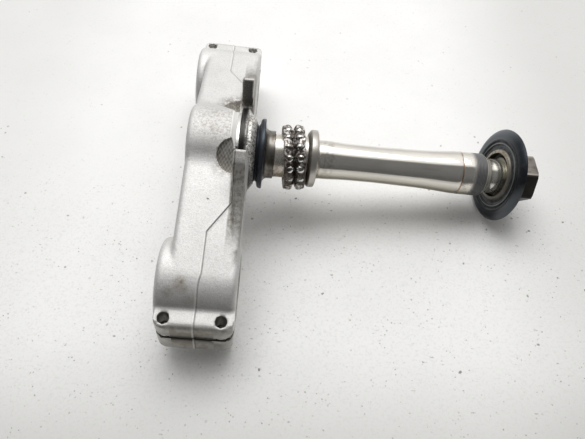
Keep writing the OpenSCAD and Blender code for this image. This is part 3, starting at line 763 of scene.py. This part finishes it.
class CoverSettings(bpy.types.PropertyGroup):
    """Sizes of the dust cover and the nut."""

    cover_x: place("Cover place", 199.8, "Place of the cover's middle along the stem")
    cover_r: length("Cover radius", 32.5, "Outer radius of the rubber rim")
    dish_r: length("Dish radius", 25.0, "Radius of the metal dish")
    hole_r: length("Hole radius", 15.6, "Radius of the hole in the dish")
    lean: angle("Lean", 7.0, "Lean of the cover towards the nut")
    turn: angle("Turn", 4.0, "Turn of the cover about the upright")
    sag_y: place("Sag along Y", 0.8, "How far the loose cover hangs off the stem's axis, along Y")
    sag_z: place("Sag along Z", 0.7, "How far the loose cover hangs off the stem's axis, along Z")
    shoulder_r: length("Shoulder radius", 13.8, "Radius of the nut's round shoulder")
    shoulder_x: place("Shoulder place", 200.6, "Place of the shoulder's end inside the cover")
    nut_af: length("Nut size", 30.0, "Width across the nut's flats")
    nut_x: place("Nut place", 205.3, "Place of the nut's inner face")
    nut_end: place("Nut end", 222.0, "Place of the nut's outer face")
    nut_turn: angle("Nut turn", 30.0, "Turn of the nut on its thread")


class StageSettings(bpy.types.PropertyGroup):
    """The table, the camera, the lamp and the room's light."""

    tilt: angle("Table tilt", 7.1, "Tilt of the table in the clamp's own frame")
    drop: length("Table drop", 55.67, "Distance of the table below the origin")
    table_r: length("Table radius", 480.0, "Radius of the table that is shown")
    table_colour: colour("Table", (0.96, 0.955, 0.945), "Colour of the table")
    lens: length("Lens", 32.0, "Focal length of the camera")
    camera_at: vector("Camera place", (31.17, -238.28, 274.71), "Place of the camera, in millimetres")
    camera_right: vector("Camera right", (0.9936, 0.0335, 0.1076), "Direction to the right in the picture")
    camera_ahead: vector("Camera ahead", (0.0706, 0.5588, -0.8263), "Direction into the picture")
    lamp_at: vector("Lamp place", (-60.0, 370.0, 920.0), "Place of the large lamp, in millimetres")
    lamp_aim: vector("Lamp aim", (90.0, 0.0, 0.0), "Place that the lamp points at, in millimetres")
    lamp_power: bpy.props.FloatProperty(name="Lamp power", description="Power of the large lamp", default=6.0,
                                        min=0.0, unit="POWER")
    bright_side: vector("Bright side", (-0.05, 0.94, 0.34), "Direction of the room's bright side")
    fill: strength("Room light", 0.95, "Strength of the bright side of the room")
    shade: strength("Room shade", 0.12, "Strength of the dark side of the room")


# The pieces


def merged_copy(node_name, name):
    """A copy of a CAD node with its loose triangles merged, free of the node's own marks."""
    hold(frame["nodes"][node_name])
    bpy.ops.object.duplicate()
    piece = bpy.context.object
    bpy.ops.object.parent_clear(type="CLEAR_KEEP_TRANSFORM")
    for key in list(piece.keys()):
        del piece[key]
    piece.name = piece.data.name = name
    with edit(piece):
        bpy.ops.mesh.remove_doubles(threshold=0.002 * MM)
    return piece


def step_down_parting_line(piece, s):
    """Lowers the casting's front half along the mould's parting line, and raises a thin bead on its edge."""
    mesh = piece.data
    co = np.empty(len(mesh.vertices) * 3, np.float32)
    mesh.vertices.foreach_get("co", co)
    co = co.reshape(-1, 3) / MM
    normal = np.empty(len(mesh.vertices) * 3, np.float32)
    mesh.vertices.foreach_get("normal", normal)
    normal = normal.reshape(-1, 3)
    side = np.abs(co[:, 1])
    along = np.clip((s.bend_outer - side) / (s.bend_outer - s.bend_inner), 0, 1)
    shifted = np.clip((side - s.bend_ear) / (s.bend_end - s.bend_ear), 0, 1) * (s.line_outer - s.line_ear)
    gap = co[:, 0] - (s.line_outer + (s.line_inner - s.line_outer) * along) + shifted
    off_bore = np.hypot(side - s.fork_y, co[:, 2] + s.fork_z) > s.fork_d / 2 + 2
    inside = np.clip((side - 28) / 6, 0, 1) * off_bore
    low = np.clip(gap / 1.2 + 0.5, 0, 1) * np.exp(-np.clip(gap, 0, None) / 9)
    bead = np.exp(-((gap + 0.5) / 0.9) ** 2)
    shift = (0.22 * bead - s.line_step * low) * inside
    co += normal * shift[:, None]
    mesh.vertices.foreach_set("co", (co * MM).astype(np.float32).ravel())
    mesh.update()


def within(value, target, reach):
    """Where an array lies within reach of a target."""
    return np.abs(value - target) < reach


def sort_faces(piece, s):
    """Finds the cut faces by their place: 1 machined, 2 the bright groove, 3 a milled relief, 4 a stop face."""
    mesh = piece.data
    count = len(mesh.polygons)
    at, out = np.empty(count * 3, np.float32), np.empty(count * 3, np.float32)
    mesh.polygons.foreach_get("center", at)
    mesh.polygons.foreach_get("normal", out)
    at, out = at.reshape(-1, 3) / MM, out.reshape(-1, 3)
    out[:, 1] *= np.sign(at[:, 1])
    x, y, z = at[:, 0], np.abs(at[:, 1]), at[:, 2]
    kind = np.zeros(count, np.int32)

    beside, above = y - s.fork_y, z + s.fork_z
    facing = np.abs(out[:, 2] * above + out[:, 1] * beside) > 8
    kind[(np.hypot(beside, above) < s.fork_d / 2 + 1.4) & facing] = 1
    kind[(np.abs(above) < s.slot_w / 2 + 0.4) & (beside > 15) & (np.abs(out[:, 2]) > 0.95)] = 1
    to_bolt = np.hypot(np.abs(x) - s.bolt_x, y - s.bolt_y)
    kind[(to_bolt < s.head_r + 0.3) & (np.abs(out[:, 2]) < 0.3)] = 1

    radius, floor = np.hypot(y, z), s.groove_x - 2
    slope = within(radius, s.groove_r + (floor - x) * 8 / 7, 0.5) & (x > floor - 7.5) & (x < floor + 0.2)
    groove = slope & (radius < 34.6)
    groove |= within(radius, s.groove_r, 0.45) & (x > floor - 0.2) & (x < s.groove_x + 0.2)
    groove |= within(x, s.groove_x, 0.3) & (np.abs(out[:, 0]) > 0.9) & (radius < 34.6)
    kind[groove & (np.abs(z) > 0.7 * s.groove_r)] = 2

    sine, cosine = math.sin(s.relief_turn), math.cos(s.relief_turn)
    deep = y * sine + z * cosine
    from_cutter = np.hypot(x - s.relief_x, y * cosine - z * sine)
    relief = within(deep, s.relief_floor, 0.5) & (from_cutter < s.relief_r + 0.4) & (x < s.relief_x + 0.3)
    relief |= within(from_cutter, s.relief_r, 0.45) & (deep > s.relief_floor - 0.5) & (x < s.relief_x)
    kind[relief & (z > 0)] = 3
    kind[within(y, s.stop_gap / 2, 0.4) & (out[:, 1] < -0.9) & (z > 12) & (x > 13.9)] = 4
    mesh.polygons.foreach_set("material_index", kind)


class ForkClampCasting(bpy.types.Operator):
    """Makes the cast clamp: the casting's skin first, then every machined face cut sharp"""

    bl_idname = "fork_clamp.casting"
    bl_label = "Casting"

    def execute(self, context):
        s = context.scene.fork_clamp_body
        piece = merged_copy("clamp_body", "clamp_casting")
        apply(piece, "REMESH", mode="VOXEL", voxel_size=s.skin * MM)
        apply(piece, "SMOOTH", factor=0.5, iterations=2)
        step_down_parting_line(piece, s)
        self.cut_forks(piece, s)
        self.cut_hub(piece, s)
        blowhole = (1.0, -51.1, 12.35)
        cut(piece, ball("blowhole_tool", blowhole, 0.85))
        sort_faces(piece, s)
        soften(piece, 0, 38)
        dress(piece, ["clamp_body"], "cast_aluminium", cast_skin(s), machined_face(), bright_turning(),
              milled_relief(), stop_grease())
        return {"FINISHED"}

    def cut_forks(self, piece, s):
        """Bores the fork clamps with chamfered ends, and cuts their slots and bolt holes."""
        half, r = s.clamp_len / 2, s.fork_d / 2 + CLEAR
        bore = [(4, -half - 2), (r + 3, -half - 2), (r, -half + 1), (r, half - 1), (r + 3, half + 2),
                (4, half + 2)]
        fork = Matrix.Translation((0, s.fork_y * MM, -s.fork_z * MM))
        cut(piece, mirrored(lambda: put(turned("fork_tool", bore), fork)))
        slit = s.slot_w / 2 + CLEAR
        cut(piece, mirrored(lambda: block("slot_tool", (-half - 2, s.fork_y + 8, -s.fork_z - slit),
                                          (half + 2, s.fork_y + 40, -s.fork_z + slit))))
        slot, seat, under = -s.fork_z, -s.fork_z - 17, -s.fork_z - 22
        holes = ((s.tap_r, slot, 0.0), (s.clear_r, under, slot), (s.head_r, under, seat))
        for x in (-s.bolt_x, s.bolt_x):
            for radius, low, high in holes:
                middle = (x, s.bolt_y, (low + high) / 2)
                cut(piece, mirrored(lambda: drill("hole_tool", middle, radius + CLEAR, high - low)))

    def cut_hub(self, piece, s):
        """Turns the groove in two halves, mills the reliefs beside it, and trims the stops' faces."""
        g, gx = s.groove_r - CLEAR, s.groove_x
        for low, high in ((0.75 * s.groove_r, 40), (-40, -0.75 * s.groove_r)):
            part = turned("groove_tool", [(g, gx - 2), (g, gx + 0.02), (36, gx + 0.02), (36, gx - 10.75)])
            cut(part, block("groove_half", (-10, -40, low), (20, 40, high)), "INTERSECT")
            cut(piece, part)

        def relief_tool():
            length = 20
            centre = (s.relief_x, 0, s.relief_floor - CLEAR + length / 2)
            tool = drill("relief_tool", centre, s.relief_r + CLEAR, length, 96)
            put(tool, Matrix.Rotation(-s.relief_turn, 4, "X"))
            return cut(tool, block("relief_half", (-10, 0, 0), (s.relief_x + 0.02, 60, 60)), "INTERSECT")

        cut(piece, mirrored(relief_tool))
        gap = s.stop_gap / 2 + 0.08
        for low, high in ((22.3, 45), (-45, -22.3)):
            cut(piece, block("stop_tool", (s.relief_x + 0.3, -gap, low), (30, gap, high)))


class ForkClampHub(bpy.types.Operator):
    """Turns the flange and the seal collar at the front of the hub"""

    bl_idname = "fork_clamp.hub"
    bl_label = "Turned hub end"

    def execute(self, context):
        s = context.scene.fork_clamp_body
        bore, wall, front, end = 16.05, s.groove_r - CLEAR, s.groove_x - 0.02, s.collar_end
        flange, face, collar = s.flange_r, s.flange_end, s.collar_r
        outline = [(bore, 13.0), (wall, 13.0), (wall, front), (flange - 0.52, front), (flange, front + 0.52),
                   (flange, face - 0.5), (flange - 0.32, face - 0.05), (wall + 0.42, face),
                   (wall + 0.17, face + 0.25), (wall + 0.07, face + 2.4), (wall - 0.68, face + 3.2),
                   (collar + 2.2, end - 1.32), (collar + 0.6, end - 0.27), (collar, end), (bore, end)]
        piece = soften(turned("hub_turned_end", outline), 0.15, 25)
        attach(piece, "root")
        piece.data.materials.append(turned_hub())
        return {"FINISHED"}


class ForkClampStem(bpy.types.Operator):
    """Turns the steering stem with its seats, waist, fine thread and neck"""

    bl_idname = "fork_clamp.stem"
    bl_label = "Steering stem"

    def execute(self, context):
        s = context.scene.fork_clamp_stem
        shoulder, seat, ring, thread = s.shoulder_x, s.seat_r, s.ring_x, s.thread_x
        outline = [(s.bore_r, s.back + 0.8), (s.bore_r + 0.8, s.back), (s.press_r - 0.8, s.back),
                   (s.press_r, s.back + 0.8), (s.press_r, shoulder - 0.4), (s.press_r - 0.4, shoulder),
                   (seat, shoulder), (seat, 69.2), (seat - 0.3, 69.7), (seat - 1.5, 70.3), (seat - 1.55, 73.0)]
        outline += [(13.45, 75.0), (13.3, 79.0), (13.05, 84.0), (12.82, 89.0), (12.74, 94.0),
                    (s.waist_r, 100.0), (s.waist_r, 112.0), (12.78, 119.0), (13.02, 126.5), (13.15, 133.0),
                    (13.3, 140.5), (13.5, 146.0), (13.85, 152.0), (14.3, 158.0), (14.75, 163.5), (14.95, 167.0)]
        outline += [(seat, ring - 0.6), (seat - 0.12, ring - 0.3), (seat - 0.12, ring + 0.3),
                    (seat, ring + 0.6), (seat, thread - 0.4)]
        for x in (thread + turn for turn in range(8)):
            outline += [(seat, x), (seat - 0.32, x + 0.4), (seat - 0.32, x + 0.55), (seat, x + 0.95)]
        outline += [(seat - 0.4, thread + 8.3), (13.6, thread + 9.7), (12.7, thread + 11),
                    (11.95, thread + 12.3), (11.75, thread + 13), (12.0, thread + 15), (12.15, thread + 18),
                    (12.0, thread + 20.5), (s.neck_r, thread + 22.4), (s.neck_r, s.end - 1),
                    (s.neck_r - 1, s.end), (s.bore_r + 0.8, s.end), (s.bore_r, s.end - 0.8)]
        piece = soften(turned("steering_stem_turned", outline, 160), 0, 28)
        dress(piece, ["steering_stem"], "stem_steel", stem_steel(s))
        return {"FINISHED"}


class ForkClampRaces(bpy.types.Operator):
    """Turns the lower race with its quarter-round track, and the upper race"""

    bl_idname = "fork_clamp.races"
    bl_label = "Bearing races"

    def execute(self, context):
        s = context.scene.fork_clamp_stem
        bore, back, foot, sleeve, track_r = s.seat_r + 0.02, s.shoulder_x, 20.5, 16.4, 3.5
        quarter = [math.pi / 2 * (1 - i / 8) for i in range(9)]
        track = [(sleeve + track_r * (1 - math.cos(a)), back + 5.5 - track_r * math.sin(a)) for a in quarter]
        lower = [(bore, back + 0.02), (foot - 0.2, back + 0.02), (foot, back + 0.2), (foot, back + 1.7),
                 (foot - 0.2, back + 2), *track, (sleeve, back + 8.7), (sleeve - 0.3, back + 9),
                 (bore, back + 9)]
        low_race = soften(turned("lower_race_turned", lower), 0, 30)
        start, end, rim = 62.3, 68.9, 19.8
        upper = [(bore, start), (rim - 3.2, start), (rim - 2.6, start + 0.2), (rim - 0.6, start + 1.6),
                 (rim, start + 2.3), (rim, end - 1), (rim - 0.3, end - 0.4), (rim - 0.8, end),
                 (rim - 2.6, end), (rim - 2.8, end - 0.3), (rim - 3.8, end - 0.3), (rim - 4, end), (bore, end)]
        high_race = soften(turned("upper_race_turned", upper), 0, 30)
        steel = race_steel()
        dress(low_race, ["lower_race"], "race_steel", steel)
        dress(high_race, ["upper_race"], "race_steel", steel)
        return {"FINISHED"}


class ForkClampSeal(bpy.types.Operator):
    """Turns the rubber seal with its spread lip"""

    bl_idname = "fork_clamp.seal"
    bl_label = "Neck seal"

    def execute(self, context):
        outline = [(16.02, 27.06), (20.0, 27.06), (19.3, 27.6), (19.0, 28.3), (20.2, 29.0), (22.6, 29.6),
                   (23.3, 29.95), (23.8, 30.8), (24.0, 31.8), (23.95, 32.5), (23.5, 32.95), (22.8, 32.9),
                   (21.6, 32.0), (20.6, 31.5), (20.55, 31.0), (16.02, 31.0)]
        piece = soften(turned("neck_seal", outline), 0.12, 30)
        dress(piece, ["lower_seal"], "seal_rubber", seal_rubber())
        return {"FINISHED"}


class ForkClampCages(bpy.types.Operator):
    """Presses the two cages, sets the balls in them, and hangs both on the stem"""

    bl_idname = "fork_clamp.cages"
    bl_label = "Cages and balls"

    def execute(self, context):
        s = context.scene.fork_clamp_stem
        steel, shine = cage_steel(), ball_steel()
        inner, outer = 16.5, 21.7
        outline = [(inner, -3.4), (outer - 0.5, -3.4), (outer, -3.1), (outer, 0.1), (outer - 0.25, 0.6),
                   (inner + 2.2, 3.5), (inner + 1.8, 3.7), (inner, 3.7)]
        leaning = Matrix.Rotation(s.lean, 4, Vector((0, -0.56, 0.83)).normalized())
        for row, name in enumerate(("lower", "upper")):
            cage = turned(f"{name}_cage_pressed", outline)
            balls = self.ball_ring(s, s.ball_d / 2)
            cut(cage, self.ball_ring(s, s.ball_d / 2 + 0.08))
            soften(cage, 0, 30)
            balls.name = balls.data.name = f"{name}_ball_row"
            hang = (Matrix.Translation(((s.row_x + s.row_gap / 2) * MM, 0, -0.7 * MM)) @ leaning
                    @ Matrix.Translation(((row - 0.5) * s.row_gap * MM, 0, 0)))
            for piece in (cage, balls):
                if row:
                    put(piece, Matrix.Rotation(math.pi, 4, "Z"))
                put(piece, hang)
            dress(cage, [f"{name}_cage"], "cage_steel", steel)
            dress(balls, [f"{name}_balls"], "ball_steel", shine)
        return {"FINISHED"}

    def ball_ring(self, s, radius):
        """One ball, copied round the pitch circle."""
        first = ball("ball", (0, 0, s.pitch_r), radius)
        bpy.ops.object.shade_smooth()
        ring = []
        for i in range(1, s.balls):
            hold(first)
            bpy.ops.object.duplicate(linked=False)
            ring.append(put(bpy.context.object, Matrix.Rotation(2 * math.pi * i / s.balls, 4, "X")))
        return joined(*ring, first)


class ForkClampCover(bpy.types.Operator):
    """Turns the dished dust cover and its rubber rim, and leans them on the nut"""

    bl_idname = "fork_clamp.cover"
    bl_label = "Dust cover"

    def execute(self, context):
        s = context.scene.fork_clamp_cover
        d, h, r = s.dish_r, s.hole_r, s.cover_r
        dish = turned("cover_dish_pressed",
                      [(h, -2.2), (h + 1.6, -2.2), (h + 2.0, -2.0), (h + 2.4, -1.2), (h + 3.0, -0.85),
                       (d - 4.2, -0.6), (d - 3.4, -0.75), (d - 3.0, -1.5), (d - 2.5, -1.75), (d - 2.0, -1.5),
                       (d - 1.7, -0.9), (d - 0.9, -0.9), (d - 0.6, -1.4), (d - 0.02, -1.5), (d - 0.02, 0.1),
                       (d - 3, 1.5), (h + 3.0, 0.45), (h + 1.2, 0.9), (h + 1.2, 5.6), (h - 1.8, 5.6),
                       (h - 1.8, 3.2), (h, 2.2)])
        rim = turned("cover_rim_rubber",
                     [(d, -1.7), (d + 0.5, -2.0), (d + 1.1, -1.75), (r - 5.2, -1.9), (r - 3.2, -1.7),
                      (r - 1.6, -0.9), (r - 0.5, 0.0), (r, 0.7), (r - 0.15, 1.3), (r - 0.8, 1.75),
                      (r - 4, 2.2), (d, 2.5)])
        leaning = (Matrix.Translation((s.cover_x * MM, s.sag_y * MM, s.sag_z * MM))
                   @ Matrix.Rotation(s.turn, 4, "Z") @ Matrix.Rotation(s.lean, 4, "Y"))
        for piece, node_name, slot, material in ((dish, "cover_dish", "cover_metal", cover_metal(s)),
                                                 (rim, "cover_rim", "cover_rubber", cover_rubber())):
            soften(piece, 0, 32)
            put(piece, leaning)
            if piece is dish:
                cut(piece, block("nut_side", (s.nut_x - 0.1, -40, -40), (s.nut_x + 9, 40, 40)))
            dress(piece, [node_name], slot, material)
        return {"FINISHED"}


class ForkClampNut(bpy.types.Operator):
    """Makes the stem nut with rubbed corners"""

    bl_idname = "fork_clamp.nut"
    bl_label = "Stem nut"

    def execute(self, context):
        s = context.scene.fork_clamp_cover
        low, high, corner = s.nut_x, s.nut_end, s.nut_af / 2 / math.cos(math.pi / 6)
        piece = turned("stem_nut_milled", [(9.0, low), (corner, low), (corner, high), (9.0, high)], 6)
        put(piece, Matrix.Rotation(s.nut_turn + math.pi / 6, 4, "X"))
        bevel = turned("nut_bevel", [(5.0, low - 0.01), (corner - 1.3, low - 0.01), (corner + 0.1, low + 0.6),
                                     (corner + 0.1, high - 0.6), (corner - 1.3, high + 0.01),
                                     (5.0, high + 0.01)])
        cut(piece, bevel, "INTERSECT")
        start, radius = s.shoulder_x, s.shoulder_r
        shoulder = turned("nut_shoulder", [(5.0, start), (radius, start), (radius, low + 1), (5.0, low + 1)])
        cut(piece, shoulder, "UNION")
        thread = turned("nut_thread", [(2.0, start - 1), (11.42, start - 1), (11.42, high - 1),
                                       (12.4, high + 1), (2.0, high + 1)])
        cut(piece, thread)
        soften(piece, 0.25, 25)
        dress(piece, ["stem_nut"], "nut_steel", nut_steel(s))
        return {"FINISHED"}


class ForkClampStage(bpy.types.Operator):
    """Sets up the table, the camera, the lamp and the room's light"""

    bl_idname = "fork_clamp.stage"
    bl_label = "Stage"

    def execute(self, context):
        s = context.scene.fork_clamp_stage
        scene = context.scene
        scene.view_settings.view_transform = "Standard"
        lay_down()
        bpy.ops.mesh.primitive_circle_add(vertices=128, radius=s.table_r * MM, fill_type="NGON",
                                          location=(80 * MM, 20 * MM, -s.drop * MM))
        table = bpy.context.object
        table.name = "table"
        put(table, Matrix.Rotation(-s.tilt, 4, "Y"))
        table.data.materials.append(table_paint(s))

        right, ahead = Vector(s.camera_right).normalized(), Vector(s.camera_ahead).normalized()
        seat = Matrix((right, right.cross(ahead).normalized(), -ahead)).transposed().to_4x4()
        seat.translation = Vector(s.camera_at) * MM
        bpy.ops.object.camera_add()
        camera = bpy.context.object
        camera.matrix_world = seat
        camera.data.lens, camera.data.sensor_width = s.lens, 36.0
        camera.data.clip_start, camera.data.clip_end = 0.01, 20.0
        scene.camera = camera

        bpy.ops.object.light_add(type="AREA", location=Vector(s.lamp_at) * MM)
        lamp = bpy.context.object
        lamp.data.shape, lamp.data.size, lamp.data.size_y = "RECTANGLE", 0.9, 0.6
        lamp.data.energy = s.lamp_power
        lamp.rotation_euler = (Vector(s.lamp_aim) * MM - lamp.location).to_track_quat("-Z", "Y").to_euler()

        scene.world = bpy.data.worlds.new("room")
        room = Board(scene.world)
        way = room.node("ShaderNodeTexCoord", {}, {}, out="Generated")
        facing, rising = (room.node("ShaderNodeVectorMath", {"operation": "DOT_PRODUCT"},
                                    [way, Vector(towards).normalized()], out="Value")
                          for towards in (s.bright_side, (0.0, 0.0, 1.0)))
        strength = facing.step(0.20, 0.38, s.shade, s.fill) * rising.step(0.0, 0.8, 0.70, 1.12)
        room.feed(room.tree.nodes["Background"], "Strength", strength)
        room.feed(room.tree.nodes["Background"], "Color", (1.0, 0.995, 0.985))
        return {"FINISHED"}


PIECES = (ForkClampCasting, ForkClampHub, ForkClampStem, ForkClampRaces, ForkClampSeal, ForkClampCages,
          ForkClampCover, ForkClampNut, ForkClampStage)
GROUPS = {"fork_clamp_body": ClampSettings, "fork_clamp_stem": StemSettings, "fork_clamp_cover": CoverSettings,
          "fork_clamp_stage": StageSettings}


class ForkClampPanel(bpy.types.Panel):
    """Lists the pieces and their settings"""

    bl_idname = "VIEW3D_PT_fork_clamp"
    bl_label = "Fork Clamp"
    bl_space_type = "VIEW_3D"
    bl_region_type = "UI"
    bl_category = "Fork Clamp"

    def draw(self, context):
        for operator in PIECES:
            self.layout.operator(operator.bl_idname)
        for group in GROUPS:
            box = self.layout.box()
            settings = getattr(context.scene, group)
            for key in settings.__annotations__:
                box.prop(settings, key)


def register():
    for cls in (*GROUPS.values(), *PIECES, ForkClampPanel):
        bpy.utils.register_class(cls)
    for group, cls in GROUPS.items():
        setattr(bpy.types.Scene, group, bpy.props.PointerProperty(type=cls))


def unregister():
    for group in GROUPS:
        delattr(bpy.types.Scene, group)
    for cls in (ForkClampPanel, *reversed(PIECES), *reversed(GROUPS.values())):
        bpy.utils.unregister_class(cls)


def main():
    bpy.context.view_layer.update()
    register()
    for cls in PIECES:
        group, step = cls.bl_idname.split(".")
        getattr(getattr(bpy.ops, group), step)()
    lay_down()


if __name__ == "__main__":
    main()
